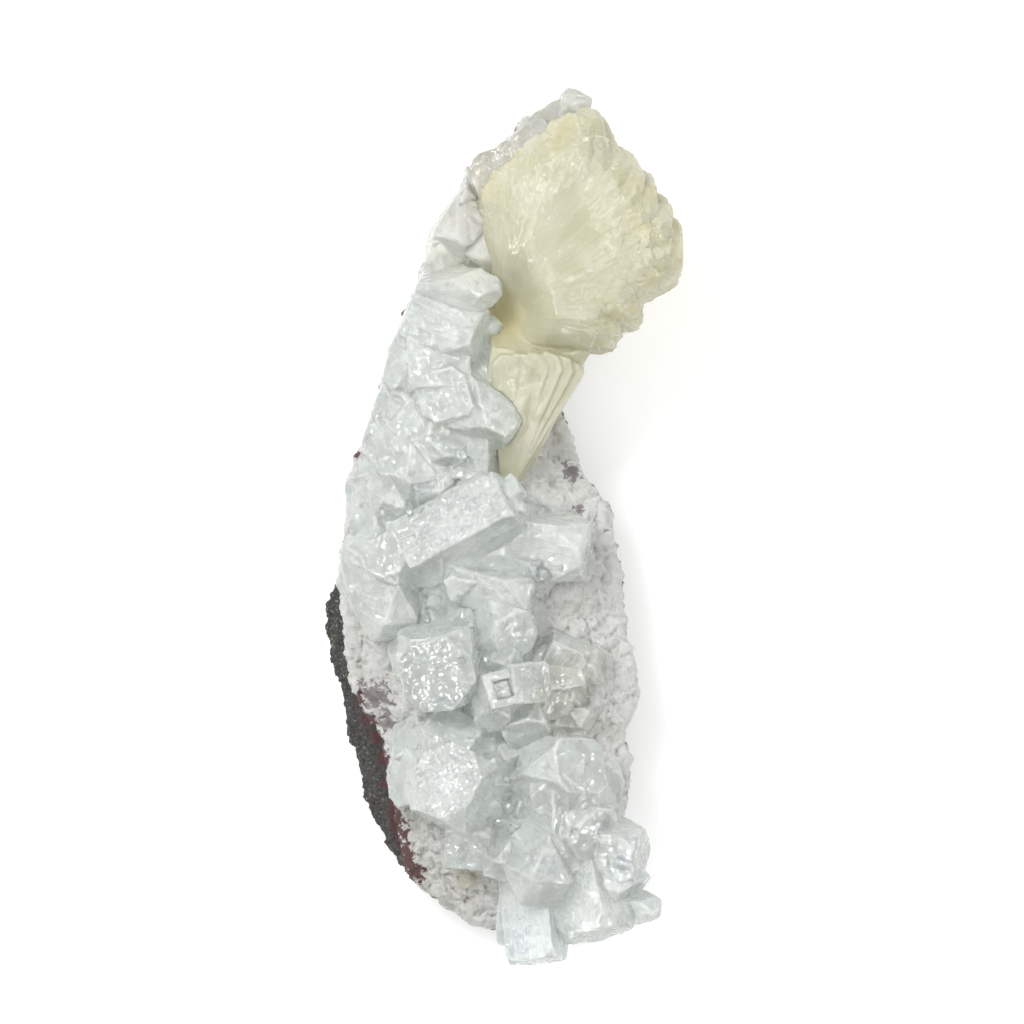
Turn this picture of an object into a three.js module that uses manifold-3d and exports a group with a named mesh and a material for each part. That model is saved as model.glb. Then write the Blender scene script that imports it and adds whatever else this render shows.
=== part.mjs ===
// Apophyllite with stilbite: a crescent of basalt under a white crust, grown over with blocky and
// pointed apophyllite crystals, and with a stilbite fan on a narrower sheaf at its upper end.
// Millimetres. The specimen lies on its back: X runs across it, Y along it and Z up from the
// surface that it rests on. The pieces are laid out about a point near the middle of the crescent.
import * as THREE from 'three';
import { ConvexGeometry } from 'three/addons/geometries/ConvexGeometry.js';
import { LoftGeometry } from 'three/addons/geometries/LoftGeometry.js';
import { ImprovedNoise } from 'three/addons/math/ImprovedNoise.js';
import { mergeVertices } from 'three/addons/utils/BufferGeometryUtils.js';
import Module from 'manifold-3d';

const wasm = await Module();
wasm.setup();

// Driving sizes
const DETAIL = 0.12; // facets flatter than this run into their neighbours
const GAP = 0.3; // between pieces of different minerals that grew against each other
const BASALT_TOP = 8;
const CRUST_BOTTOM = BASALT_TOP + GAP;
const CRUST_RIM = 2.4; // thickness of the crust at its edge
const CRUST_DOME = 3.2; // how much thicker the crust is inside
const CRUST_SPAN = 9; // distance from the edge at which the crust is thickest
const CRUST_CELL = 3.6; // spacing of the points of the crust's ground
const PYRAMID_SLOPE = THREE.MathUtils.degToRad(60.4); // apophyllite's pyramid faces, from the c axis

// The basalt's outline, [x, y, how far its top edge lies inside its foot]
const BASALT_OUTLINE = [
  [4, 65.5, 1], [-2, 58, 1], [-7, 52, 1.2], [-11.5, 43, 1.4], [-15.5, 34, 1.6], [-19, 24, 1.4], [-21.5, 15, 2.2],
  [-25, 7.5, 2], [-24.8, -1, 1.4], [-26, -8, 2], [-28.4, -13, 4.5], [-28, -19, 4.6], [-26, -27, 4.6],
  [-24.6, -34, 6], [-22.6, -41, 6.5], [-21.2, -46, 6], [-18.2, -52.2, 3.8], [-14.9, -56.8, 2.4], [-8.2, -60.8, 1.4],
  [-2, -64.2, 1.2], [7, -62.5, 2.5], [15, -58, 2.5], [19, -50, 1.6], [19, -43, 1], [20.4, -37, 1], [19, -33, 1],
  [21.8, -27.5, 1], [20.2, -19.5, 1], [18.6, -13.5, 1], [19, -8, 1], [17.6, -2, 1], [16.6, 3, 1], [12.5, 9, 1],
  [11.2, 14, 1], [9.4, 19, 1.2], [10.5, 28, 2], [14, 38, 2.5], [15.5, 48, 2.5], [13.5, 58, 2.5], [10, 65.5, 1.5],
];
// The white crust's outline where it leaves the basalt's; elsewhere it follows the basalt's top edge
const CRUST_OUTLINE = [
  [4.2, 64.6], [-1.6, 57.4], [-6.4, 51.4], [-10.8, 42.6], [-14.8, 33.6], [-18.2, 24], [-20.4, 15], [-23.8, 7.5],
  [-24, -1], [-25, -8], [-24.8, -13.5], [-24, -19], [-23.4, -26], [-19.4, -31.5], [-17.6, -37], [-16.4, -42],
  [-15.8, -48.5], [-14.6, -54], [-11.6, -58], [-5.6, -61.8], [-0.4, -63.4], [7, -60.5], [14, -56.5], [18, -49.5],
  [19.2, -43], [20.2, -37], [18.9, -32.5], [21.6, -27.5], [20, -19.5], [18.4, -13.5], [18.8, -8], [17.2, -2],
  [16.2, 3], [12.2, 8.6], [10.8, 14], [9, 19], [9, 28], [12, 38], [13.5, 48], [11.6, 57.5], [9, 64.6],
];

// The left edge, where the specimen was broken from the rock: crystals end at this line
const BREAK_LINE = [
  [11.5, 76], [11, 70.2], [5, 66.2], [2.4, 62.8], [-2, 59.8], [-4.2, 59.2], [-5.8, 57.4],
  [-6.3, 54], [-8.9, 50.8], [-11, 47.6],
  [-11.8, 44.4], [-12.6, 41.2], [-14.2, 38], [-15.6, 34.8], [-16.6, 31.6], [-18.1, 28.4], [-18.7, 25.2],
  [-19.5, 22], [-20.6, 18.8], [-21.7, 15.6], [-23, 12.4], [-24.3, 9.2], [-25.3, 6], [-24.9, 2.8], [-24.7, -0.4],
  [-25.6, -3.6], [-25.7, -7], [-26.6, -10.2], [-30, -14], [-30, -76], [34, -76], [34, 76],
];
const BREAK_LEAN = 0.09; // how far the break leans inwards for each millimetre of height
const BREAK_EASE = 1; // how far outside the line the break starts at the bottom
const HIGHEST = 36; // above everything

// The druse of intergrown apophyllite crystals, by the part of the specimen that they stand on. Each
// is [tip x, y, z, azimuth and elevation of the c axis, width seen from above, length, flat, spin], in
// mm and degrees. Azimuth 0 points along +X; elevation 90 points up. flat is how much of
// the square end face the pyramid faces leave: near 1 a block, near 0 a point. spin turns the
// crystal about its axis.
const DRUSE = {
  block: [
    [1.5, 4.1, 20.2, 29, 8, 12.2, 18.2, 0.92, 62],
    [3.6, 3.8, 18.8, 22, 6, 6.4, 14, 0.8, 60],
    [3, 6.6, 20.6, 34, 10, 4.4, 9, 0.9, 60],
    [-0.6, 7.6, 22.6, 40, 40, 2.8, 8, 0.8, 50],
    [-8, 5.6, 19.4, 110, 55, 8, 10, 0.7, 20],
    [-2.6, 7.4, 21.4, 62, 35, 4.4, 9, 0.6, 30],
    [-4.2, 7.4, 20.6, 100, 40, 5.4, 10, 0.6, 10],
    [-10.6, -1.6, 19.6, 140, 50, 7, 10, 0.7, 20],
  ],
  window: [
    [0.4, -25.4, 26, 45, 66, 7.4, 15, 0.95, 60],
    [4.8, -24.6, 24, 5, 56, 6.4, 13, 0.92, 0],
    [-1.4, -30.4, 23, 260, 42, 7, 12, 0.6, 20],
    [0.2, -20, 23, 115, 40, 5, 9, 0.8, 45],
    [4.2, -33, 20.5, 285, 50, 8, 12, 0.75, 10],
    [2.2, -16.8, 22.5, 330, 58, 9, 14, 0.68, 15],
    [8.8, -27.8, 18, 340, 62, 7, 10, 0.8, 30],
    [-0.6, -34.2, 17.4, 80, 74, 9, 9, 0.7, 20],
  ],
  centre: [
    [-10.2, -23, 25.2, 250, 70, 16, 17, 0.7, 28],
    [-15.2, -19.4, 19, 150, 40, 10, 12, 0.6, 10],
    [-5, -15.4, 20.5, 60, 52, 8, 10, 0.6, 30],
    [-10.7, -12.3, 18.6, 80, 65, 3, 7, 0.6, 20],
    [-11.7, -15.3, 19, 120, 70, 2.3, 7, 0.5, 40],
  ],
  points: [
    [1.9, 14.8, 20.8, 320, 16, 12, 20, 0.3, 20],
    [-9.1, 21, 24.2, 215, 76, 12.4, 12, 0.56, 25],
    [0.3, 22.6, 20.5, 305, 20, 5.4, 12, 0.4, 15],
    [-3.4, 30.6, 23.6, 338, 16, 10, 15, 0.6, 24],
    [-0.2, 38, 23.5, 8, 14, 8, 14, 0.22, 20],
    [-0.3, 31.2, 20, 345, 20, 3.8, 9, 0.4, 30],
    [0.5, 28.2, 19.5, 330, 20, 4, 9, 0.3, 10],
    [-9.8, 27, 23.5, 80, 74, 12, 12, 0.8, 12],
    [-13.3, 33, 20.5, 150, 42, 10, 12, 0.65, 0],
    [-17.2, 26.4, 18, 168, 34, 11, 13, 0.7, 20],
    [-19.2, 19.2, 16.5, 188, 30, 10, 12, 0.7, 40],
    [-14.5, 18.5, 20, 160, 62, 11, 11, 0.7, 15],
  ],
  striated: [
    [0.2, 42.2, 20.5, 308, 10, 7.6, 12, 0.5, 20],
    [-3.6, 44.4, 20.4, 306, 24, 13, 16, 0.35, 24],
    [-3, 45.6, 21.5, 308, 18, 6, 10, 0.6, 40],
    [-5.6, 50.2, 21, 308, 26, 6, 9, 0.6, 10],
    [-8.4, 43.2, 19.5, 290, 60, 8, 10, 0.7, 15],
    [-7.4, 52.4, 17.5, 150, 34, 7, 10, 0.7, 30],
    [-11, 41, 17, 195, 32, 8, 10, 0.7, 15],
  ],
  table: [
    [-8.8, -39.9, 25, 135, 66, 14, 17, 0.7, 20],
    [-15.6, -39.7, 16.5, 182, 34, 10, 13, 0.75, 10],
    [-7.6, -32.4, 21, 75, 52, 12, 14, 0.62, 25],
    [-15.2, -33.4, 16, 150, 42, 7, 10, 0.6, 0],
    [0.6, -38.8, 20, 15, 45, 8.4, 12, 0.5, 30],
    [1.1, -35.4, 19.5, 60, 60, 3.6, 9, 0.5, 10],
    [3.3, -40.6, 18.6, 20, 55, 3.8, 9, 0.6, 40],
    [1.3, -44.7, 18.4, 290, 60, 3, 8, 0.35, 45],
    [3.8, -44.9, 18, 330, 60, 3.4, 8, 0.75, 20],
    [-2.6, -46, 18.5, 300, 50, 7.4, 10, 0.6, 15],
  ],
  foot: [
    [6.8, -58, 22, 285, 42, 10.4, 18, 0.5, 15],
    [5, -48.6, 19, 75, 62, 9, 13, 0.4, 20],
    [-5.4, -51.4, 19.5, 262, 54, 7.8, 12, 0.9, 5],
    [-0.3, -54.6, 20, 268, 46, 6.4, 11, 0.55, 20],
    [5.8, -69.2, 15.5, 276, 10, 10, 19, 0.8, 20],
    [2, -66.6, 15, 264, 14, 6, 17, 0.4, 10],
    [15.4, -64.9, 16, 283, 14, 12.6, 19, 0.82, 30],
    [25.4, -61, 12, 355, 6, 5.2, 11, 0.4, 25],
    [20.4, -58.4, 15.5, 310, 16, 8, 14, 0.6, 0],
    [11, -56.4, 17.4, 300, 40, 8, 12, 0.6, 20],
  ],
  ridge: [
    [12.6, -37.8, 22.5, 28, 50, 13.4, 16, 0.6, 20],
    [9.1, -42.8, 23, 265, 58, 10, 14, 0.62, 10],
    [5.9, -35.9, 20.5, 130, 58, 10, 12, 0.6, 30],
    [16.8, -40.8, 18, 8, 34, 11, 15, 0.7, 15],
    [14.6, -48.6, 21, 320, 56, 11.6, 14, 0.6, 25],
    [22.3, -52, 17.5, 352, 18, 10.8, 18, 0.7, 20],
    [17.6, -45.6, 16.5, 20, 30, 6, 10, 0.5, 0],
    [13.4, -44.6, 19.6, 340, 50, 18, 14, 0.72, 25],
  ],
  nose: [
    [-16.8, -16.6, 18.5, 286, 26, 11, 17, 0.5, 22],
    [-24, -7.6, 15.5, 196, 30, 13, 15, 0.6, 15],
    [-18.4, -2.8, 19.5, 130, 56, 13, 14, 0.8, 20],
    [-12.4, -6.6, 20, 235, 50, 9, 11, 0.8, 30],
    [-11.6, -11.6, 16.4, 120, 70, 7, 8, 0.7, 30],
  ],
  shelf: [
    [-9.2, -9.7, 19.4, 200, 24, 7.4, 14, 0.4, 30],
    [5, -11.4, 19.4, 345, 14, 8, 17, 0.5, 25],
    [-7.4, -13.4, 18.4, 30, 76, 10, 9, 0.7, 30],
    [13.6, -3.6, 16.5, 350, 12, 11.6, 18, 0.6, 20],
    [8.6, 0.6, 15.4, 40, 30, 8, 12, 0.7, 15],
    [6.2, -6.9, 19, 340, 38, 4.2, 9, 0.6, 30],
    [5, 2.2, 17, 62, 42, 6, 10, 0.7, 10],
    [-0.4, -11.6, 19.6, 250, 60, 9, 11, 0.7, 10],
  ],
  bank: [
    [-13, 5.9, 20, 298, 30, 9.4, 14, 0.4, 18],
    [-16.2, 12.4, 19, 115, 60, 11, 13, 0.7, 10],
    [-1.2, 10.8, 18.4, 0, 20, 6.4, 14, 0.92, 0],
    [-6.7, 11.8, 21.2, 90, 60, 3, 8, 0.3, 20],
    [-17.8, 2.2, 19.4, 265, 46, 8, 12, 0.5, 25],
    [-23.6, 4.6, 15, 190, 22, 7, 10, 0.6, 10],
    [-22, 0.6, 17, 180, 45, 7.4, 9, 0.7, 20],
    [-8.5, 15, 20.5, 60, 62, 10.4, 12, 0.6, 30],
    [-20.6, 10.6, 16, 172, 38, 9, 11, 0.7, 20],
    [-10.8, 9, 20, 30, 66, 8.6, 12, 0.6, 5],
  ],
  smoky: [
    [11.3, -18.1, 16, 62, 26, 7.2, 12, 0.9, 10],
    [15.9, -21.8, 15, 4, 24, 7, 13, 0.6, 25],
    [13.3, -25.4, 15.4, 350, 34, 7.8, 12, 0.6, 15],
    [14.1, -31, 15, 340, 34, 6.4, 10, 0.5, 30],
    [9.4, -33.4, 16, 300, 48, 6, 10, 0.6, 0],
    [9.2, -22, 17, 80, 62, 9.6, 11, 0.8, 20],
  ],
};
// Recesses in the ends of crystals, in the same terms
const RECESSES = [[1, -24.8, 27.8, 45, 66, 4.6, 3.2, 1.5, 60]];
// The separate apophyllite group that crowns the stilbite head
const CROWN = [
  [12.4, 68.5, 20, 62, 22, 5.6, 11, 0.6, 20],
  [8.6, 64.2, 21.5, 112, 50, 9, 11, 0.8, 10],
  [4.4, 61.4, 21.8, 140, 50, 9, 11, 0.7, 30],
  [0, 56.4, 22.6, 146, 66, 12, 12, 0.72, 16],
  [-4, 57, 18.5, 160, 40, 4, 9, 0.6, 20],
];
const BED_DEPTH = 0.55; // how far down each crystal the mass that joins its cluster starts
const BED_SPREAD = 0.42; // how wide that mass is around each crystal, as a share of its width
const BED_UNDER_TIP = 3; // the least distance between it and a crystal's tip, in height

// The stilbite head: a fan of blades from its root, drawn as rings of its rim. Each ring is
// [height, share of the rim's size, 1 if it shrinks towards the dome's middle or 0 if to the root].
const HEAD_ROOT = [-0.6, 33.6];
const HEAD_MIDDLE = [9.5, 46];
const HEAD_HOLLOW = 10; // within this distance of the root the fan's face falls away into a hollow
const HEAD_HOLLOW_HEIGHT = 15;
const HEAD_HOLLOW_RISE = 0.25; // from each ring to the next, in the hollow
const HEAD_UNDERSIDE = 3; // how much lower the rings below the rim lie near the root
const HEAD_RIM = [
  [-0.2, 33.4], [1.8, 29.1], [7, 27.6], [12, 27.6], [17.2, 27.8], [18.6, 30.8], [21.5, 31.8], [22.6, 35.2],
  [25.3, 37.4], [27.9, 39.6], [28.9, 44.4], [27, 49.4], [24.9, 53.3], [22.2, 56.9], [19.3, 59.9], [16.9, 62.9],
  [15.4, 65.6], [12.6, 66.4], [8.8, 64.4], [5, 62], [1.6, 59], [-1.4, 56], [-3.4, 52.4], [-3.2, 47.2],
  [-2.1, 41.9], [-1.3, 37.1],
];
const HEAD_RINGS = [
  [10.6, 0.3, 0], [13, 0.62, 0], [16.4, 0.9, 0], [18.6, 0.98, 0], [20.6, 1, 1], [22.8, 0.97, 1], [25.2, 0.93, 1],
  [27.6, 0.85, 1], [30, 0.7, 1], [31.6, 0.48, 1], [32.2, 0.26, 1],
];
const SCALLOP = 8.5; // degrees between the notches in the rim, as seen from the root
const SCALLOP_DEPTH = 0.05; // notch depth as a share of the fan's reach
// The stilbite stalk's corners, [x, y, height]: the face that looks up, then its back
const STALK_CORNERS = [
  [-1.4, 7.4, 14.5], [2.2, 6, 14.5], [7, 13.6, 18.5], [14.2, 28.2, 22.5], [-1.2, 28.2, 24], [-2.4, 20.4, 21.5],
  [3, 17, 22], [7, 27, 25], [-1, 6.4, 11.4], [2, 5.4, 11.4], [12.4, 27.4, 14], [0, 28.4, 14], [0.6, 30, 20],
  [13, 30, 19], [-3.6, 29, 15], [-2.4, 36, 14], [1, 35, 13.6],
];
// Each blade on the stalk's face is [azimuth, elevation, length, width], all from one root
const STALK_ROOT = [0.6, 5.6, 14.2];
const STALK_THICKNESS = 3;
const STALK_MIDDLE = [4, 18, 18];
const STALK_BLADES = [
  [61.5, 20, 25, 4.2], [66, 22, 25.5, 4.6], [71, 23.5, 25.5, 5], [77, 24.5, 25, 5], [83, 25, 24.5, 5],
  [89, 24, 24, 4.6],
];

const { degToRad, radToDeg } = THREE.MathUtils;
const UP = new THREE.Vector3(0, 0, 1);
const noise = new ImprovedNoise();
const fractal = (x, y, z) => noise.noise(x, y, z) + 0.5 * noise.noise(2.1 * x, 2.1 * y, 2.1 * z + 7);

// Numbers from 0 to 1 that are the same on every run
function randomFrom(seed) {
  let state = seed;
  return () => {
    state = (state * 16807) % 2147483647;
    return (state % 100003) / 100003;
  };
}

// A closed geometry as a manifold-3d solid
function solidFrom(geometry) {
  const bare = new THREE.BufferGeometry().setIndex(geometry.index);
  bare.setAttribute('position', geometry.attributes.position);
  const merged = mergeVertices(bare, 1e-4);
  return new wasm.Manifold(new wasm.Mesh({
    numProp: 3,
    vertProperties: merged.attributes.position.array,
    triVerts: new Uint32Array(merged.index.array),
  }));
}

function geometryFrom(solid) {
  const mesh = solid.getMesh();
  const geometry = new THREE.BufferGeometry();
  geometry.setAttribute('position', new THREE.BufferAttribute(mesh.vertProperties, 3));
  geometry.setIndex(new THREE.BufferAttribute(mesh.triVerts, 1));
  return geometry;
}

const hull = (points) => solidFrom(new ConvexGeometry(points));
const joined = (solids) => solids.reduce((sum, solid) => sum.add(solid));

// The largest body of a solid that its neighbours may have cut into several
function mainBody(solid) {
  return solid.decompose().reduce((best, body) => (body.volume() > best.volume() ? body : best));
}

// The corners of the convex form that is bounded by planes, each [normal, distance from the origin]
function cornersOf(planes) {
  const corners = [];
  const matrix = new THREE.Matrix3();
  for (let i = 0; i < planes.length; i++) {
    for (let j = i + 1; j < planes.length; j++) {
      for (let k = j + 1; k < planes.length; k++) {
        const [a, b, c] = [planes[i], planes[j], planes[k]];
        matrix.set(...a[0].toArray(), ...b[0].toArray(), ...c[0].toArray());
        if (Math.abs(matrix.determinant()) < 1e-6) continue;
        const corner = new THREE.Vector3(a[1], b[1], c[1]).applyMatrix3(matrix.invert());
        if (planes.every(([normal, distance]) => normal.dot(corner) < distance + 1e-6)) corners.push(corner);
      }
    }
  }
  return corners;
}

// Turns a form's own axes into the specimen's: its +Z along the azimuth and elevation, spun about it
function placement([x, y, z], azimuth, elevation, spin) {
  return new THREE.Matrix4()
    .makeTranslation(x, y, z)
    .multiply(new THREE.Matrix4().makeRotationZ(degToRad(azimuth)))
    .multiply(new THREE.Matrix4().makeRotationY(degToRad(90 - elevation)))
    .multiply(new THREE.Matrix4().makeRotationZ(degToRad(spin)));
}

// One apophyllite crystal: a square prism, a flat end at its tip and four pyramid faces over the
// prism's edges, each face off its ideal place by a few percent
function crystal([x, y, z, azimuth, elevation, width, length, flat, spin], random, grow) {
  const turn = degToRad(spin);
  const half = width / 2 / (Math.cos(turn) + Math.sin(turn));
  const [sine, cosine] = [Math.sin(PYRAMID_SLOPE), Math.cos(PYRAMID_SLOPE)];
  const uneven = (share) => 1 + share * (2 * random() - 1);
  const planes = [[UP, grow], [UP.clone().negate(), length + grow]];
  for (let side = 0; side < 4; side++) {
    const quarter = side * Math.PI / 2;
    const prism = new THREE.Vector3(1, 0, 0).applyAxisAngle(UP, quarter);
    const pyramid = new THREE.Vector3(sine, 0, cosine).applyAxisAngle(UP, quarter + Math.PI / 4);
    planes.push([prism, half * uneven(0.08) + grow]);
    planes.push([pyramid, Math.SQRT2 * sine * half * flat * uneven(0.14) + grow]);
  }
  const place = placement([x, y, z], azimuth, elevation, spin);
  return hull(cornersOf(planes).map((corner) => corner.applyMatrix4(place)));
}

// The mass of the same mineral that a cluster's crystals rise from
function bedUnder(crystals, grow) {
  const points = [];
  for (const [x, y, z, azimuth, elevation, width, length] of crystals) {
    const place = placement([x, y, z], azimuth, elevation, 0);
    for (let i = 0; i < 6; i++) {
      const radius = BED_SPREAD * width + grow;
      const around = new THREE.Vector3(radius, 0, -length * BED_DEPTH).applyAxisAngle(UP, i * Math.PI / 3);
      const point = around.applyMatrix4(place);
      point.z = Math.min(point.z, z - BED_UNDER_TIP) + grow;
      points.push(point, point.clone().setZ(Math.min(CRUST_BOTTOM, point.z)));
    }
  }
  return hull(points);
}

function cluster(crystals, seed, grow = 0) {
  const random = randomFrom(seed);
  return joined([bedUnder(crystals, grow), ...crystals.map((row) => crystal(row, random, grow))]);
}

// One stilbite blade, its root at the local origin and its length along +Z: it widens outwards and
// ends in blunt facets
function blade(root, [azimuth, elevation, length, width], thickness, grow) {
  const flare = Math.atan2(0.38 * width, length);
  const planes = [[UP.clone().negate(), 0.5 + grow], [UP, length + grow]];
  for (const sign of [-1, 1]) {
    planes.push([new THREE.Vector3(0, sign * Math.cos(flare), -Math.sin(flare)), 0.12 * width + grow]);
    planes.push([new THREE.Vector3(sign, 0, 0), thickness / 2 + grow]);
    const shoulder = new THREE.Vector3(0, sign * Math.sin(degToRad(52)), Math.cos(degToRad(52)));
    planes.push([shoulder, shoulder.dot(new THREE.Vector3(0, 0.2 * sign * width, length)) + grow]);
  }
  const place = placement(root, azimuth, elevation, 0);
  return hull(cornersOf(planes).map((corner) => corner.applyMatrix4(place)));
}

// Bumps of a rounded shape with sharp notches between them, one for each SCALLOP of the angle
const scallops = (angle, shift) => Math.sqrt(Math.abs(Math.sin(Math.PI * (radToDeg(angle) / SCALLOP + shift))));

function stilbiteHead(grow = 0) {
  const root = new THREE.Vector2(...HEAD_ROOT);
  const middle = new THREE.Vector2(...HEAD_MIDDLE);
  const rim = splinePoints(HEAD_RIM, 3);
  const sections = HEAD_RINGS.map(([height, size, domed], ring) => rim.map((point) => {
    const from = domed ? middle : root;
    const ray = point.clone().sub(root);
    const notch = SCALLOP_DEPTH * size * (1 - scallops(ray.angle(), 0.37 * ring));
    const place = point.clone().sub(from).multiplyScalar(size).add(from).addScaledVector(ray, -notch);
    place.addScaledVector(ray.clone().normalize(), grow);
    const away = THREE.MathUtils.smoothstep(place.distanceTo(root), 0, HEAD_HOLLOW);
    const inHollow = HEAD_HOLLOW_HEIGHT + HEAD_HOLLOW_RISE * ring;
    const under = height - HEAD_UNDERSIDE * (1 - away) * size - grow;
    const over = THREE.MathUtils.lerp(inHollow, height, away) + grow;
    return new THREE.Vector3(place.x, place.y, domed ? over : under);
  }));
  return solidFrom(new LoftGeometry(sections, { capStart: true, capEnd: true }));
}

function stilbiteStalk(grow = 0) {
  const middle = new THREE.Vector3(...STALK_MIDDLE);
  const corners = STALK_CORNERS.map((corner) => {
    const point = new THREE.Vector3(...corner);
    return point.addScaledVector(point.clone().sub(middle).normalize(), grow);
  });
  return joined([hull(corners), ...STALK_BLADES.map((row) => blade(STALK_ROOT, row, STALK_THICKNESS, grow))]);
}

// Points along the smooth closed line through a hand-drawn outline
const splinePoints = (points, perPoint) =>
  new THREE.SplineCurve([...points, points[0]].map(([x, y]) => new THREE.Vector2(x, y)))
    .getPoints(perPoint * points.length).slice(0, -1);

// A closed line that runs anticlockwise, moved outwards point by point
function movedOut(line, distanceAt) {
  return line.map((point, i) => {
    const [before, after] = [line.at(i - 1), line[(i + 1) % line.length]];
    const outward = new THREE.Vector2(after.y - before.y, before.x - after.x).normalize();
    return point.clone().addScaledVector(outward, distanceAt(point, i));
  });
}

// A flat slab of a closed line between two heights
const slab = (line, bottom, top) =>
  solidFrom(new THREE.ExtrudeGeometry(new THREE.Shape(line), { depth: top - bottom, bevelEnabled: false })
    .translate(0, 0, bottom));

// The basalt: rings of one outline, drawn in at the foot and, by each point's own amount, at the top.
// Each ring is [height, share of the top's inset, further inset, roughness].
function basalt(grow = 0) {
  const outline = splinePoints(BASALT_OUTLINE, 2);
  const insets = BASALT_OUTLINE.map((row) => row[2]);
  const inset = (i) => (insets[Math.floor(i / 2)] + insets[Math.ceil(i / 2) % insets.length]) / 2;
  const rings = [
    [0, 0, 3.4, 0], [1, 0, 1.4, 0.7], [2.4, 0, 0.2, 0.9], [4.6, 0.35, 0.1, 0.9], [6.6, 0.75, 0, 0.7],
    [BASALT_TOP, 1, 0, 0.3],
  ];
  const sections = rings.map(([height, share, further, rough]) => {
    const line = movedOut(outline, (point, i) => {
      const bump = rough * fractal(point.x / 4, point.y / 4, height / 3);
      return grow - share * inset(i) - further + bump;
    });
    const raised = height === BASALT_TOP ? height + grow : height;
    return line.map((point) => new THREE.Vector3(point.x, point.y, raised));
  });
  return solidFrom(new LoftGeometry(sections, { capStart: true, capEnd: true }));
}

const crustLine = (perPoint) => splinePoints(CRUST_OUTLINE, perPoint);

// The crust: lumpy ground inside its outline
function crust(bottom, raise, allowance) {
  const line = movedOut(crustLine(2), (point) => allowance + 0.5 * fractal(point.x / 3, point.y / 3, 1));
  const edge = crustLine(5);
  const box = new THREE.Box2().setFromPoints(line).expandByScalar(CRUST_CELL);
  const size = box.getSize(new THREE.Vector2());
  const centre = box.getCenter(new THREE.Vector2());
  const cells = size.clone().divideScalar(CRUST_CELL).ceil();
  const ground = new THREE.BoxGeometry(size.x, size.y, 1, cells.x, cells.y);
  const position = ground.attributes.position;
  for (let i = 0; i < position.count; i++) {
    const [x, y] = [position.getX(i) + centre.x, position.getY(i) + centre.y];
    const inside = Math.sqrt(Math.min(...edge.map((p) => (p.x - x) ** 2 + (p.y - y) ** 2)));
    const rise = CRUST_DOME * THREE.MathUtils.smootherstep(inside, 0, CRUST_SPAN);
    const lumps = 0.75 * fractal(x / 5, y / 5, 2) + 0.35 * fractal(x / 2.2, y / 2.2, 9);
    position.setXYZ(i, x, y, position.getZ(i) > 0 ? CRUST_BOTTOM + CRUST_RIM + rise + lumps + raise : bottom);
  }
  return solidFrom(ground).intersect(slab(line, bottom - 1, HIGHEST));
}

// The room left of which nothing grows: it leans in with height, like a broken edge
function insideBreak() {
  const line = BREAK_LINE.map(([x, y]) => new THREE.Vector2(x, y));
  const sections = [0, HIGHEST].map((height) =>
    line.map((p) => new THREE.Vector3(p.x + BREAK_LEAN * height - BREAK_EASE, p.y, height)));
  return solidFrom(new LoftGeometry(sections, { capStart: true, capEnd: true }));
}

const MATERIALS = {
  basalt: new THREE.MeshStandardMaterial({ color: 0x3d3b39, roughness: 0.95 }),
  crust: new THREE.MeshStandardMaterial({ color: 0xe6e4dd, roughness: 0.9 }),
  stilbite: new THREE.MeshStandardMaterial({ color: 0xdcd6b4, roughness: 0.45 }),
  apophyllite: new THREE.MeshStandardMaterial({ color: 0xcdd5d0, roughness: 0.25 }),
};

function meshOf(name, solid, material) {
  const mesh = new THREE.Mesh(geometryFrom(solid.asOriginal().simplify(DETAIL)), material);
  mesh.name = name;
  return mesh;
}

// What grew on the rock ends above it and above the crust, by the gap
const groundToClear = () => crust(-HIGHEST, GAP, GAP).add(basalt(GAP));

function specimenPieces() {
  const ground = groundToClear();
  const room = insideBreak();
  const clusters = (grow) => joined(Object.values(DRUSE).map((crystals, i) => cluster(crystals, i + 3, grow)));
  const random = randomFrom(RECESSES.length);
  const recesses = joined(RECESSES.map((row) => crystal(row, random, 0)));
  const druse = mainBody(clusters(0).intersect(room).subtract(ground).subtract(recesses));
  const crown = mainBody(cluster(CROWN, 1).intersect(room).subtract(ground).subtract(clusters(GAP)));
  const apophyllite = clusters(GAP).add(cluster(CROWN, 1, GAP));
  const stilbite = mainBody(stilbiteHead().add(stilbiteStalk()).subtract(ground).subtract(apophyllite));
  return [
    meshOf('basalt_matrix', basalt(), MATERIALS.basalt),
    meshOf('white_crust', crust(CRUST_BOTTOM, 0, 0), MATERIALS.crust),
    meshOf('apophyllite_crystals', druse, MATERIALS.apophyllite),
    meshOf('apophyllite_crown', crown, MATERIALS.apophyllite),
    meshOf('stilbite_sheaves', stilbite, MATERIALS.stilbite),
  ];
}

const specimen = new THREE.Group();
specimen.add(...specimenPieces());

// The part's origin is under the middle of the whole specimen, on the surface that it rests on
const bounds = new THREE.Box3().setFromObject(specimen);
const middle = bounds.getCenter(new THREE.Vector3());
specimen.position.set(-middle.x, -middle.y, -bounds.min.z);

const part = new THREE.Group();
part.add(specimen);

export default part;
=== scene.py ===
# Apophyllite with stilbite on basalt, as it lies on its back under soft light, seen from above.
# Sizes are in millimetres in the part's own frame: X across, Y along the specimen, Z up.
import math

import bpy
import numpy as np
from mathutils import Matrix, Vector


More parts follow.
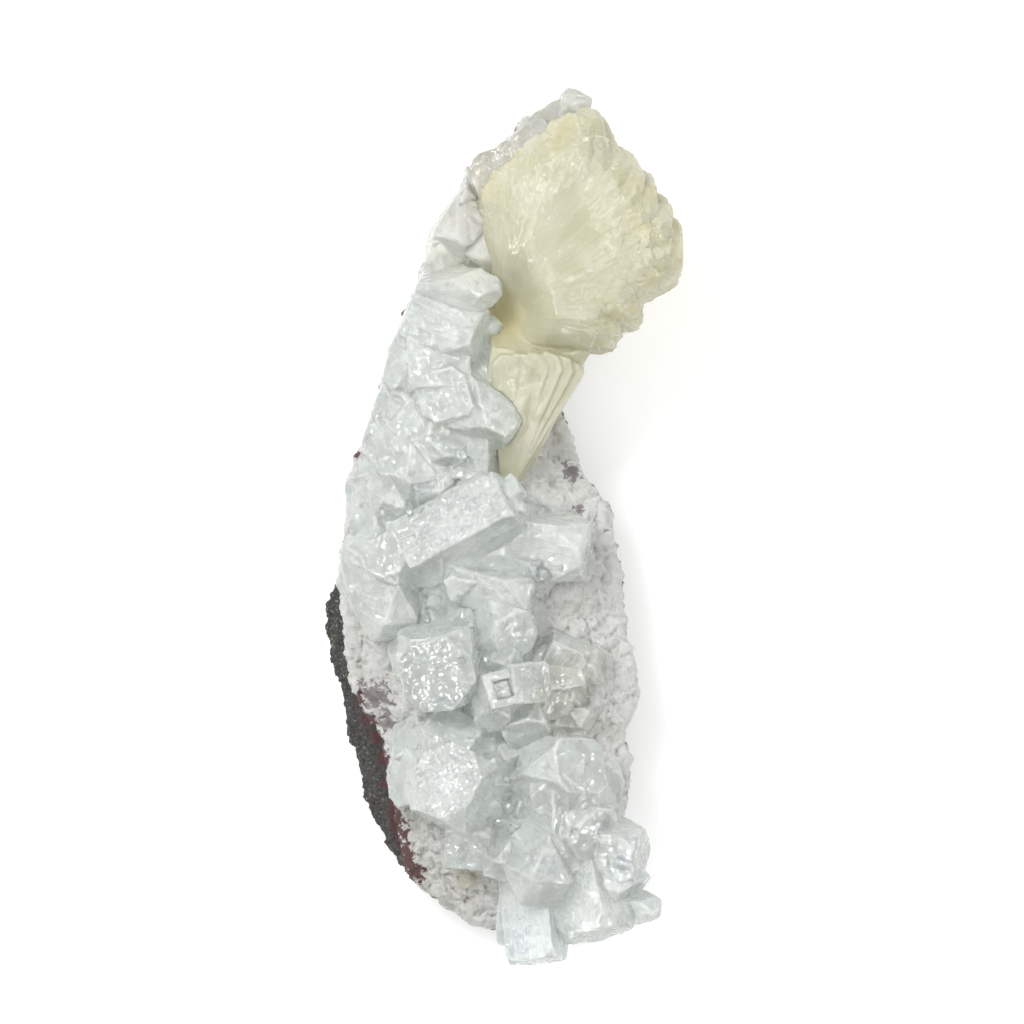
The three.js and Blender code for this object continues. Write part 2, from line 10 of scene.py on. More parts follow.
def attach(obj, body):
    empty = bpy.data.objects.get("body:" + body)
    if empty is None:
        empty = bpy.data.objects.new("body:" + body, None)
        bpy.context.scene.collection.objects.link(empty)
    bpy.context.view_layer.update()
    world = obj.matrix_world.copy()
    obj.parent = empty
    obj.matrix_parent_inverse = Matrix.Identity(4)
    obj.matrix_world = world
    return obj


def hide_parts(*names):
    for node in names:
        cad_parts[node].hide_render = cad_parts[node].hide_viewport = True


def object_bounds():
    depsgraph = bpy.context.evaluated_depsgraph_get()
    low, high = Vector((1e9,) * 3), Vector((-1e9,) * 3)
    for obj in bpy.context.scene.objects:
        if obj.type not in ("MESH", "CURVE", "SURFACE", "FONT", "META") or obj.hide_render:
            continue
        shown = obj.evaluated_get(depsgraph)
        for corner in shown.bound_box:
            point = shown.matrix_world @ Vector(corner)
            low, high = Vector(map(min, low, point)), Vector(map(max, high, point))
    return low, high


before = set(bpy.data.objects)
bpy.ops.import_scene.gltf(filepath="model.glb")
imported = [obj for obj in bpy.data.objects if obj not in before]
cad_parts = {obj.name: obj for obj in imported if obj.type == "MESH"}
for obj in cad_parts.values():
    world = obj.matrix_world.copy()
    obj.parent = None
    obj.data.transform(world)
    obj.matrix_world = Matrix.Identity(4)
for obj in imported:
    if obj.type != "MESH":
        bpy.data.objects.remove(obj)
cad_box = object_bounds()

MM = 0.001
CAMERA_PLACE = (1.66, 2.61, 912)
CAMERA_FIELD = 10.4  # degrees
ROOM_LIGHT = (0.63, 0.63, 0.62)
ROOM_ABOVE = (0.6, 0.605, 0.6)  # the part of the room straight above
ROOM_ABOVE_FROM, ROOM_ABOVE_FULL = 0.88, 0.975  # sines of the heights in the sky between which it sets in
FLOOR_SIDE = 4  # metres
FLOOR_GLOW = 0.35
# Soft lights: [name, place, side, power in watts]
LIGHTS = [["key_light", (-400, 400, 640), 380, 4.4], ["side_light", (520, -200, 560), 300, 1]]
# Small cards spread over the room, which only show as glints
GLINTS = 40
GLINT_SIDE = 58
GLINT_POWER = 0.6
GLINT_DISTANCE = 800
GLINT_STEEPEST, GLINT_LOWEST = 8, 72  # degrees from straight above
BOX_MARGIN = 0.02  # how far inside the solids' box the dressed pieces stay
BROKEN_BACK = 0.5  # basalt lower than this is flat
MERGING = 0.01  # corners closer than this are one
WEIGHT_STEPS = 20  # levels that a vertex group's weights are rounded to
ABOVE_ALL = 80  # where rays that look for a facet start

# Mesh spacing of each piece's skin
BASALT_CELL = 0.36
CRUST_CELL = 0.27
STILBITE_CELL = 0.2
DRUSE_FINENESS = 9  # each step more halves the mesh's cell
CROWN_FINENESS = 7
MOST_TRIANGLES = 192000
CREVICE_CELL = 0.5
CREVICE_REACH = 0.7  # half the width of the gaps between crystals that are filled
CREVICE_DEPTH = 0.3  # how far under the crystals' faces their filling stays
CREVICE_SHARE = 0.15  # of the filling's triangles that are kept
RIDGE_SPACING = (1.5, 6)  # across and along a crystal's prism faces
PATTERN_SHIFT = 37  # from each crystal's lines to the next one's, so that no two are alike
CLOSING = 0.16  # how far each mineral grows outwards to meet its neighbour
LAID_OUT_ABOUT = (-0.094, 0.213)  # the point that the crystals' places are measured from

# Unevenness of the skins: size, then depth. A negative depth makes ridges of the noise's creases.
BASALT_LUMPS = (2.6, 1.8)
BASALT_GRAINS = (0.9, 1.6)
CRUST_LUMPS = (3.4, 3)
CRUST_CLUMPS = (1.3, -1.5)
CRUST_TUFTS = (0.6, 0.6)
CRYSTAL_STEPS = (2.4, 0.26)
CRYSTAL_HILLOCKS = (1.1, 0.12)
STILBITE_WAVES = (5, 0.5)
LEDGE_DEPTH = 0.14
RIB_WIDTH, RIB_LENGTH, RIB_DEPTH = 1.2, 14, 0.3

HEAD_ROOT = (-0.69, 33.81)
STALK_ROOT = (0.51, 5.81)
STALK_TOP = 28.4
HEAD_CENTRE = (10, 46.5)
HEAD_REACH = (17, 20)
HEAD_SEAM = -120  # degrees, the direction behind the head's root where its angles start again
RIM_ARC = 24  # mm of arc for each radian, along the stilbite's rim
FAN_ARC, STALK_ARC = 20, 18  # the same in the fine streaks of the head and the stalk
# Overlapping ends on the stilbite: width, then length
RIM_ENDS = (3, 3.6)
SMALL_RIM_ENDS = (1.2, 1.5)
FACE_ENDS = (1.6, 2.2)
RIM_END_HEIGHT = 1.5
FACE_END_HEIGHT = 0.24
HEAD_SMOOTHING = 70  # rounds that take the solid's own ends out of the head's middle

APOPHYLLITE_TINT = (0.715, 0.76, 0.73)
APOPHYLLITE_CLEARNESS = 0.55
STILBITE_CLEARNESS = 0.3
APOPHYLLITE_IOR = 1.535
STILBITE_IOR = 1.5
PAINTED_GLINT_WHITE = (0.97, 0.98, 0.98)  # the near-white of painted glints on pearly grains and painted reflection streaks along growth lines

# The larger apophyllite crystals, whose skins are lined along their length. Each is
# [tip x, y, z, azimuth, elevation, width, length, spin].
CRYSTALS = [
    [1.5, 4.1, 20.2, 29, 8, 12.2, 18.2, 62], [3.6, 3.8, 18.8, 22, 6, 6.4, 14, 60],
    [-8, 5.6, 19.4, 110, 55, 8, 10, 20], [-4.2, 7.4, 20.6, 100, 40, 5.4, 10, 10],
    [-10.6, -1.6, 19.6, 140, 50, 7, 10, 20], [0.4, -25.4, 26, 45, 66, 7.4, 15, 60],
    [4.8, -24.6, 24, 5, 56, 6.4, 13, 0], [-1.4, -30.4, 23, 260, 42, 7, 12, 20],
    [4.2, -33, 20.5, 285, 50, 8, 12, 10], [2.2, -16.8, 22.5, 330, 58, 9, 14, 15],
    [8.8, -27.8, 18, 340, 62, 7, 10, 30], [-0.6, -34.2, 17.4, 80, 74, 9, 9, 20],
    [-10.2, -23, 25.2, 250, 70, 16, 17, 28], [-15.2, -19.4, 19, 150, 40, 10, 12, 10],
    [-5, -15.4, 20.5, 60, 52, 8, 10, 30], [1.9, 14.8, 20.8, 320, 16, 12, 20, 20],
    [-9.1, 21, 24.2, 215, 76, 12.4, 12, 25], [0.3, 22.6, 20.5, 305, 20, 5.4, 12, 15],
    [-3.4, 30.6, 23.6, 338, 16, 10, 15, 24], [-0.2, 38, 23.5, 8, 14, 8, 14, 20],
    [-9.8, 27, 23.5, 80, 74, 12, 12, 12], [-13.3, 33, 20.5, 150, 42, 10, 12, 0],
    [-17.2, 26.4, 18, 168, 34, 11, 13, 20], [-19.2, 19.2, 16.5, 188, 30, 10, 12, 40],
    [-14.5, 18.5, 20, 160, 62, 11, 11, 15], [0.2, 42.2, 20.5, 308, 10, 7.6, 12, 20],
    [-3.6, 44.4, 20.4, 306, 24, 13, 16, 24], [-3, 45.6, 21.5, 308, 18, 6, 10, 40],
    [-5.6, 50.2, 21, 308, 26, 6, 9, 10], [-8.4, 43.2, 19.5, 290, 60, 8, 10, 15],
    [-7.4, 52.4, 17.5, 150, 34, 7, 10, 30], [-11, 41, 17, 195, 32, 8, 10, 15],
    [-8.8, -39.9, 25, 135, 66, 14, 17, 20], [-15.6, -39.7, 16.5, 182, 34, 10, 13, 10],
    [-7.6, -32.4, 21, 75, 52, 12, 14, 25], [-15.2, -33.4, 16, 150, 42, 7, 10, 0],
    [0.6, -38.8, 20, 15, 45, 8.4, 12, 30], [-2.6, -46, 18.5, 300, 50, 7.4, 10, 15],
    [6.8, -58, 22, 285, 42, 10.4, 18, 15], [5, -48.6, 19, 75, 62, 9, 13, 20],
    [-5.4, -51.4, 19.5, 262, 54, 7.8, 12, 5], [-0.3, -54.6, 20, 268, 46, 6.4, 11, 20],
    [5.8, -69.2, 15.5, 276, 10, 10, 19, 20], [2, -66.6, 15, 264, 14, 6, 17, 10],
    [15.4, -64.9, 16, 283, 14, 12.6, 19, 30], [20.4, -58.4, 15.5, 310, 16, 8, 14, 0],
    [11, -56.4, 17.4, 300, 40, 8, 12, 20], [12.6, -37.8, 22.5, 28, 50, 13.4, 16, 20],
    [9.1, -42.8, 23, 265, 58, 10, 14, 10], [5.9, -35.9, 20.5, 130, 58, 10, 12, 30],
    [16.8, -40.8, 18, 8, 34, 11, 15, 15], [14.6, -48.6, 21, 320, 56, 11.6, 14, 25],
    [22.3, -52, 17.5, 352, 18, 10.8, 18, 20], [17.6, -45.6, 16.5, 20, 30, 6, 10, 0],
    [13.4, -44.6, 19.6, 340, 50, 18, 14, 25], [-16.8, -16.6, 18.5, 286, 26, 11, 17, 22],
    [-24, -7.6, 15.5, 196, 30, 13, 15, 15], [-18.4, -2.8, 19.5, 130, 56, 13, 14, 20],
    [-12.4, -6.6, 20, 235, 50, 9, 11, 30], [-11.6, -11.6, 16.4, 120, 70, 7, 8, 30],
    [-9.2, -9.7, 19.4, 200, 24, 7.4, 14, 30], [5, -11.4, 19.4, 345, 14, 8, 17, 25],
    [-7.4, -13.4, 18.4, 30, 76, 10, 9, 30], [13.6, -3.6, 16.5, 350, 12, 11.6, 18, 20],
    [8.6, 0.6, 15.4, 40, 30, 8, 12, 15], [5, 2.2, 17, 62, 42, 6, 10, 10],
    [-0.4, -11.6, 19.6, 250, 60, 9, 11, 10], [-13, 5.9, 20, 298, 30, 9.4, 14, 18],
    [-16.2, 12.4, 19, 115, 60, 11, 13, 10], [-1.2, 10.8, 18.4, 0, 20, 6.4, 14, 0],
    [-17.8, 2.2, 19.4, 265, 46, 8, 12, 25], [-23.6, 4.6, 15, 190, 22, 7, 10, 10],
    [-22, 0.6, 17, 180, 45, 7.4, 9, 20], [-8.5, 15, 20.5, 60, 62, 10.4, 12, 30],
    [-20.6, 10.6, 16, 172, 38, 9, 11, 20], [-10.8, 9, 20, 30, 66, 8.6, 12, 5],
    [11.3, -18.1, 16, 62, 26, 7.2, 12, 10], [15.9, -21.8, 15, 4, 24, 7, 13, 25],
    [13.3, -25.4, 15.4, 350, 34, 7.8, 12, 15], [14.1, -31, 15, 340, 34, 6.4, 10, 30],
    [9.4, -33.4, 16, 300, 48, 6, 10, 0], [9.2, -22, 17, 80, 62, 9.6, 11, 20],
    [12.4, 68.5, 20, 62, 22, 5.6, 11, 20], [8.6, 64.2, 21.5, 112, 50, 9, 11, 10],
    [4.4, 61.4, 21.8, 140, 50, 9, 11, 30], [0, 56.4, 22.6, 146, 66, 12, 12, 16],
]
# Single small crystals on the larger ones: [x, y, width]
SMALL_CRYSTALS = [
    [-10.8, -12, 2.2], [-11.8, -15, 1.3], [-4.9, -15.4, 0.8], [-6.3, -20.6, 1], [-6.7, 11.6, 1.6],
    [-5.4, 11, 0.9], [1, -42, 1.6], [2.2, -43.6, 1.3], [0.4, -45.4, 1.5], [-0.6, -47, 1.1],
    [1.8, -47.8, 1.2], [0.8, -39.8, 1], [6.2, -6.8, 1.6], [7.4, -7.2, 1.1], [4.2, -7.6, 0.9],
    [3.3, 8.8, 1.4], [1.8, 10.4, 1], [5.6, 7.2, 1], [9.4, -6.2, 0.7], [-14.6, 2.4, 1],
    [-12.8, 3, 0.8], [15.2, -50.2, 0.9], [11.4, -47.6, 0.8],
]
# Parts of the apophyllite given a local colour, darker or lighter, among them near-white painted highlights
# on the block face at (-7, -0.5), the table face at (-9, -41) and the foot's big face at (15, -60): [x, y,
# inner and outer reach, share, colour]
APOPHYLLITE_TINTS_AND_HIGHLIGHTS = [
    [-0.5, 57.5, 4, 9, 0.8, (0.8, 0.77, 0.66)], [8, 65, 4, 9, 0.8, (0.74, 0.73, 0.65)],
    [-5, 45, 5, 11, 0.7, (0.95, 0.93, 0.83)], [-7, -0.5, 1, 5, 0.8, (0.98, 0.99, 0.97)],
    [12, -26, 5, 9, 0.8, (0.56, 0.55, 0.48)], [-20, -9, 4, 9, 0.6, (0.6, 0.63, 0.6)],
    [13, -45, 5, 10, 0.6, (0.6, 0.63, 0.6)], [22, -53, 3, 8, 0.7, (0.66, 0.69, 0.68)],
    [3, -64, 3, 8, 0.5, (0.7, 0.75, 0.76)], [16, -5, 3, 7, 0.5, (0.7, 0.73, 0.7)],
    [15, -60, 1, 6, 0.7, (0.97, 0.97, 0.94)], [-9, -41, 1, 5, 0.6, (0.95, 0.97, 0.96)],
    [-10.8, -23, 5, 9, 0.6, (0.6, 0.64, 0.61)],
]
# Dark purple spots on the crust: [x, y, reach]
PURPLE_SPOTS = [[11.1, 9, 3], [12.5, 2.9, 1.8], [-20.3, -26.7, 5], [-18.4, -31, 2.6]]
# Red-brown spots along the seam of the crust and the basalt: [x, y, reach]
RED_SPOTS = [
    [-23, -27.4, 2.2], [-21.4, -30.6, 2.4], [-20, -33.6, 2.4], [-18.8, -37.2, 2.8], [-18, -41, 2.6],
    [-17.4, -44.6, 2.8], [-16.8, -48.4, 4], [-15.6, -52, 3], [-14.4, -55.2, 3.6], [-23.2, 11.9, 1.6],
    [-15.6, 34.9, 1.4],
]
# Dark smudges inside the crystals: [x, y, reach]
INNER_SHADOWS = [
    [7.1, -53.4, 2.8], [3.2, -66, 3.4], [19.7, -53, 3], [-5.9, -51.3, 2.8], [-7.5, -27, 2.2],
    [-10.8, -27, 2.2], [16.5, -47, 2.2], [5.4, -6.4, 2.4], [12.4, -9, 2.6], [-12, 6.6, 2.2],
    [-8.6, 9.6, 2], [4.2, 22, 2.4],
]
# Facets with a grained, pearly skin and painted glints: [x, y, reach, strength]
PEARLY_FACETS = [
    [-7, -0.4, 9, 1], [-10.4, -2.4, 5, 0.6], [-9, -40.2, 9, 1], [13, -57, 7, 0.9], [18, -62, 8, 0.8],
    [-4.4, -24.6, 4, 0.9], [3.4, -26, 5, 0.8], [5.4, -23, 3, 0.7], [-18.6, -12.6, 6, 0.7],
    [4.6, -61, 7, 0.5], [-5, -51, 5, 0.5], [-7.4, 23, 4, 0.6], [-16.6, 3.2, 4, 0.7],
]


def mm(*values):
    return Vector(values) * MM


def select_only(piece):
    bpy.ops.object.select_all(action="DESELECT")
    piece.select_set(True)
    bpy.context.view_layer.objects.active = piece


def copy_of(node, name):
    piece = bpy.data.objects.new(name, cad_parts[node].data.copy())
    bpy.context.scene.collection.objects.link(piece)
    piece.data.name = name
    piece.data.materials.clear()
    select_only(piece)
    bpy.ops.object.mode_set(mode="EDIT")
    bpy.ops.mesh.select_all(action="SELECT")
    bpy.ops.mesh.remove_doubles(threshold=MERGING * MM)
    bpy.ops.mesh.normals_make_consistent(inside=False)
    bpy.ops.object.mode_set(mode="OBJECT")
    return piece


def apply(piece, kind, **settings):
    modifier = piece.modifiers.new(kind.title(), kind)
    for key, value in settings.items():
        setattr(modifier, key, value)
    select_only(piece)
    bpy.ops.object.modifier_apply(modifier=modifier.name)


def points_of(piece):
    points = np.empty(len(piece.data.vertices) * 3, np.float32)
    piece.data.vertices.foreach_get("co", points)
    return points.reshape(-1, 3).astype(float) / MM


def normals_of(piece):
    normals = np.empty(len(piece.data.vertices) * 3, np.float32)
    piece.data.vertex_normals.foreach_get("vector", normals)
    return normals.reshape(-1, 3).astype(float)


def move_points(piece, points):
    piece.data.vertices.foreach_set("co", (points * MM).astype(np.float32).ravel())
    piece.data.update()


def skin(piece, cell, smooth=0):
    apply(piece, "REMESH", mode="VOXEL", voxel_size=cell * MM, use_smooth_shade=True)
    if smooth:
        apply(piece, "SMOOTH", factor=0.5, iterations=smooth)


def cloud(name, size, detail=2, steps=None, basis="IMPROVED_PERLIN", kind="SOFT_NOISE"):
    """A noise texture. Its size is in metres, or in a UV map's own units."""
    texture = bpy.data.textures.new(name, "CLOUDS")
    texture.noise_type = kind
    texture.noise_scale = size
    texture.noise_depth = detail
    texture.noise_basis = basis
    if steps:
        texture.use_color_ramp = True
        ramp = texture.color_ramp
        ramp.interpolation = "CONSTANT"
        for i in range(1, steps):
            level = i / (steps - 1)
            place = 0.25 + 0.5 * i / steps  # most of the noise lies between 0.25 and 0.75
            if i < steps - 1:
                stop = ramp.elements.new(place)
            else:
                stop = ramp.elements[-1]
                stop.position = place
            stop.color = (level, level, level, 1)
        ramp.elements[0].color = (0, 0, 0, 1)
    return texture


def roughen(piece, texture, depth, group="", coords="LOCAL"):
    apply(
        piece, "DISPLACE", texture=texture, texture_coords=coords, strength=depth * MM, mid_level=0.5,
        vertex_group=group)


def grow(piece, distance):
    apply(piece, "DISPLACE", strength=distance * MM, mid_level=0)


def weigh(piece, name, weights):
    group = piece.vertex_groups.new(name=name)
    levels = np.round(np.clip(weights, 0, 1) * WEIGHT_STEPS).astype(int)
    for level in range(1, WEIGHT_STEPS + 1):
        chosen = np.nonzero(levels == level)[0]
        if len(chosen):
            group.add(chosen.tolist(), level / WEIGHT_STEPS, "REPLACE")


def keep_inside_box(piece):
    low, high = (np.array(corner) / MM for corner in cad_box)
    points = points_of(piece)
    points = np.minimum(np.maximum(points, low + [BOX_MARGIN, BOX_MARGIN, 0]), high - BOX_MARGIN)
    move_points(piece, points)


def thin_out(piece):
    piece.data.calc_loop_triangles()
    count = len(piece.data.loop_triangles)
    if count > MOST_TRIANGLES:
        apply(piece, "DECIMATE", ratio=MOST_TRIANGLES / count)


def store(piece, name, values):
    layer = piece.data.attributes.new(name, "FLOAT", "POINT")
    layer.data.foreach_set("value", np.clip(values, 0, 1).astype(np.float32))


def neighbours_mean(piece, values, rounds):
    ends = np.empty(len(piece.data.edges) * 2, np.int32)
    piece.data.edges.foreach_get("vertices", ends)
    ends = ends.reshape(-1, 2)
    a, b = ends[:, 0], ends[:, 1]
    count = len(values)
    share = np.bincount(a, minlength=count) + np.bincount(b, minlength=count)
    share = np.maximum(share, 1)
    for _ in range(rounds):
        columns = [
            np.bincount(a, values[b, k], count) + np.bincount(b, values[a, k], count)
            for k in range(values.shape[1])
        ]
        values = 0.5 * values + 0.5 * np.stack(columns, 1) / share[:, None]
    return values


def relief(piece, rounds):
    """How far each point stands out of its surroundings, in mm, negative in a hollow"""
    points = points_of(piece)
    return ((points - neighbours_mean(piece, points, rounds)) * normals_of(piece)).sum(1)


def smoothstep(values, low, high):
    t = np.clip((values - low) / (high - low), 0, 1)
    return t * t * (3 - 2 * t)


def seen_from_above(node, x, y):
    """Whether a solid is hit at that place, where, and its normal there"""
    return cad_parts[node].ray_cast(mm(x, y, ABOVE_ALL), Vector((0, 0, -1)))[:3]


def facet_mask(piece, node, facets):
    """1 on the facets of the solid that lie under the given places"""
    points, normals = points_of(piece), normals_of(piece)
    mask = np.zeros(len(points))
    for x, y, reach, strength in facets:
        hit, place, normal = seen_from_above(node, x, y)
        if not hit:
            continue
        away = points - np.array(place) / MM
        level = np.abs(away @ np.array(normal))
        facing = normals @ np.array(normal)
        near = 1 - smoothstep(np.linalg.norm(away, axis=1), 0.8 * reach, reach)
        on = near * (1 - smoothstep(level, 0.35, 0.7)) * smoothstep(facing, 0.75, 0.92)
        mask = np.maximum(mask, strength * on)
    return neighbours_mean(piece, mask[:, None], 1)[:, 0]


class Wire:
    """A material's socket. Sums and products with it add Math nodes."""

    def __init__(self, finish, socket):
        self.finish = finish
        self.socket = socket

    def math(self, operation, *values):
        return self.finish.add("ShaderNodeMath", {"operation": operation}, dict(enumerate(values)))

    def __add__(self, other):
        return self.math("ADD", self, other)

    def __sub__(self, other):
        return self.math("SUBTRACT", self, other)

    def __rsub__(self, other):
        return self.math("SUBTRACT", other, self)

    def __mul__(self, other):
        return self.math("MULTIPLY", self, other)

    __radd__ = __add__
    __rmul__ = __mul__


class Finish:
    """A material. add() makes any node: its type, its settings, then its sockets."""

    def __init__(self, name):
        self.material = bpy.data.materials.new(name)
        self.material.use_nodes = True
        self.tree = self.material.node_tree
        self.tree.nodes.clear()
        place = self.add("ShaderNodeTexCoord", out="Object")
        sockets = {"Vector": place, "Scale": 1 / MM}
        self.place = self.add("ShaderNodeVectorMath", {"operation": "SCALE"}, sockets)

    def add(self, kind, settings=None, sockets=None, out=0):
        node = self.tree.nodes.new(kind)
        for key, value in (settings or {}).items():
            setattr(node, key, value)
        for key, value in (sockets or {}).items():
            if isinstance(value, Wire):
                self.tree.links.new(value.socket, node.inputs[key])
            else:
                node.inputs[key].default_value = value
        return Wire(self, node.outputs[out])

    def noise(self, size, detail=2, rough=0.5, stretch=None, warp=0):
        place = self.place
        if stretch:
            turn, scale = stretch
            sockets = {"Vector": place, "Rotation": turn, "Scale": scale}
            place = self.add("ShaderNodeMapping", {"vector_type": "POINT"}, sockets)
        return self.add("ShaderNodeTexNoise", {}, {
            "Vector": place, "Scale": 1 / size, "Detail": detail, "Roughness": rough, "Distortion": warp})

    def attribute(self, name):
        return self.add("ShaderNodeAttribute", {"attribute_name": name}, out="Fac")

    def ramp(self, value, low, high):
        """0 up to the low value and 1 from the high one, or the other way round"""
        return self.add("ShaderNodeMapRange", {"interpolation_type": "SMOOTHSTEP"}, {
            "Value": value, "From Min": low, "From Max": high})

    def blend(self, mask, first, second):
        """The second colour where the mask is 1. The colours' sockets share their names with others."""
        first, second = (c if isinstance(c, Wire) else (*c, 1) for c in (first, second))
        return self.add("ShaderNodeMix", {"data_type": "RGBA"}, {0: mask, 6: first, 7: second}, out=2)

    def height(self):
        return self.add("ShaderNodeSeparateXYZ", {}, {0: self.place}, out="Z")

    def vector(self, operation, *values, out="Vector"):
        return self.add("ShaderNodeVectorMath", {"operation": operation}, dict(enumerate(values)), out)

    def facets(self, size):
        """Heights in mm of cells of that size, each tilted its own way"""
        sockets = {"Vector": self.place, "Scale": 1 / size}
        cells = self.add("ShaderNodeTexVoronoi", {"feature": "F1"}, sockets, "Color")
        tilt = self.vector("SUBTRACT", cells, (0.5, 0.5, 0.5))
        centre = Wire(self, cells.socket.node.outputs["Position"])
        away = self.vector("SUBTRACT", self.place, centre)
        return self.vector("DOT_PRODUCT", away, tilt, out="Value")

    def lines(self, layer, across, along, detail=3):
        """Noise drawn out along a UV map's second axis, in mm"""
        flat = self.add("ShaderNodeUVMap", {"uv_map": layer})
        flat = self.vector("MULTIPLY", flat, (1 / across, 1 / along, 0))
        sockets = {"Vector": flat, "Scale": 1, "Detail": detail, "Roughness": 0.55}
        return self.add("ShaderNodeTexNoise", {}, sockets)

    def near(self, x, y, low, high):
        """1 up to the low distance from a place, seen from above, and 0 from the high one"""
        flat = self.vector("MULTIPLY", self.place, (1, 1, 0))
        away = self.vector("DISTANCE", flat, (x, y, 0), out="Value")
        return 1 - self.ramp(away, low, high)

    def spots(self, rows, raggedness):
        """1 inside ragged spots, which are rows of [x, y, reach]"""
        inside = 0
        for x, y, reach in rows:
            inside = inside + self.near(x, y, 0, reach)
        return self.ramp(0.3 * inside + raggedness, 0.62, 0.72) * self.ramp(inside, 0, 0.2)

    def bump(self, height):
        """A normal from a height in mm"""
        sockets = {"Height": height, "Distance": MM, "Strength": 1}
        return self.add("ShaderNodeBump", {}, sockets, out="Normal")

    def surface(self, sockets):
        shader = self.add("ShaderNodeBsdfPrincipled", {}, sockets)
        output = self.tree.nodes.new("ShaderNodeOutputMaterial")
        self.tree.links.new(shader.socket, output.inputs["Surface"])
        return self.material


def apophyllite_finish():
    f = Finish("apophyllite_milky")
    pearl = f.attribute("pearl")
    edge = f.attribute("edge")
    hollow = f.attribute("hollow")
    prism = f.attribute("prismatic")
    veils = f.noise(5, 2, 0.55, warp=0.6)
    patches = f.ramp(f.noise(2.4, 2, 0.6), 0.5, 0.62)
    grains = f.noise(0.5, 3, 0.6)
    inclusions_and_dark_reflections = f.ramp(f.noise(2.6, 3, 0.65, warp=1.4), 0.6, 0.7)
    lines = f.lines("growth", 0.5, 6)
    streaks = f.ramp(f.lines("growth", 0.3, 5), 0.6, 0.68)
    dark, light = ([c * share for c in APOPHYLLITE_TINT] for share in (0.9, 1.12))
    colour = f.blend(f.ramp(veils, 0.35, 0.65), dark, light)
    # Local colours, among them painted highlights on three faces.
    for x, y, inner, outer, share, local in APOPHYLLITE_TINTS_AND_HIGHLIGHTS:
        colour = f.blend(share * f.near(x, y, inner, outer), colour, local)
    colour = f.blend(f.ramp(lines, 0.45, 0.7) * prism * 0.35, colour, (0.93, 0.95, 0.94))
    # Painted warm light: the hollows between crystals get a yellowish glow.
    colour = f.blend(hollow * 0.6, colour, (0.8, 0.79, 0.66))
    # Grey-blue spots: partly inclusions, partly painted dark reflections.
    colour = f.blend(inclusions_and_dark_reflections * 0.4, colour, (0.5, 0.53, 0.57))
    colour = f.blend(f.spots(INNER_SHADOWS, f.noise(1.6, 4, 0.65)) * 0.55, colour, (0.42, 0.47, 0.52))
    # Painted highlight: convex edges are lightened to near-white.
    colour = f.blend(edge * 0.65, colour, (0.96, 0.98, 0.97))
    # Painted glints on the pearly facets: a darker grey base with near-white grains.
    colour = f.blend(pearl * 0.3, colour, (0.66, 0.72, 0.72))
    colour = f.blend(pearl * f.ramp(grains, 0.4, 0.64) * (0.3 + 0.7 * patches), colour, PAINTED_GLINT_WHITE)
    # Painted reflection: near-white streaks along the growth lines, most on prism faces.
    colour = f.blend(streaks * (0.3 + 0.5 * prism), colour, PAINTED_GLINT_WHITE)
    height = 0.012 * f.noise(1.4, 2, 0.6) + 0.06 * lines * prism
    height = height + f.facets(0.5) * (0.4 * patches + 0.5 * pearl + 0.04) + f.facets(1.6) * 0.14
    return f.surface({
        "Base Color": colour,
        "Roughness": 0.02 + 0.08 * veils + 0.06 * pearl,
        "IOR": APOPHYLLITE_IOR,
        "Specular IOR Level": 0.9,
        "Transmission Weight": APOPHYLLITE_CLEARNESS,
        "Normal": f.bump(height),
    })


def stilbite_finish():
    f = Finish("stilbite_cream")
    edge = f.attribute("edge")
    hollow = f.attribute("hollow")
    rim = f.attribute("margin")
    streaks = f.lines("fan", 1, 14, 4)
    fine_streaks = f.lines("fan", 0.35, 6, 3)
    veils = f.noise(6, 3, 0.5)
    grains = f.noise(0.5, 3, 0.6)
    patches = f.ramp(f.noise(3, 3, 0.6), 0.5, 0.64)
    colour = f.blend(f.ramp(veils, 0.35, 0.7), (0.62, 0.605, 0.42), (0.69, 0.67, 0.49))
    colour = f.blend(f.ramp(streaks, 0.4, 0.7) * 0.3, colour, (0.78, 0.77, 0.66))
    colour = f.blend(rim * f.ramp(veils, 0.55, 0.35) * 0.8, colour, (0.68, 0.64, 0.4))
    # Painted shade: a deeper yellow in the hollows.
    colour = f.blend(hollow * 0.85, colour, (0.76, 0.68, 0.38))
    # Painted shade: deep yellow round the head's root, in the shaded hollow beside the crystals.
    colour = f.blend(f.near(*HEAD_ROOT, 1, 7) * 0.8, colour, (0.86, 0.77, 0.45))
    # Painted highlight: convex edges are lightened.
    colour = f.blend(edge * 0.45, colour, (0.92, 0.92, 0.84))
    height = 0.03 * streaks + 0.012 * fine_streaks + 0.01 * grains + 0.03 * f.noise(2, 3, 0.6)
    height = height + f.facets(0.5) * (0.06 + 0.5 * patches * (0.2 + 0.8 * rim))
    return f.surface({
        "Base Color": colour,
        "Roughness": 0.12 + 0.14 * veils,
        "IOR": STILBITE_IOR,
        "Specular IOR Level": 0.5,
        "Transmission Weight": STILBITE_CLEARNESS,
        "Normal": f.bump(height),
    })


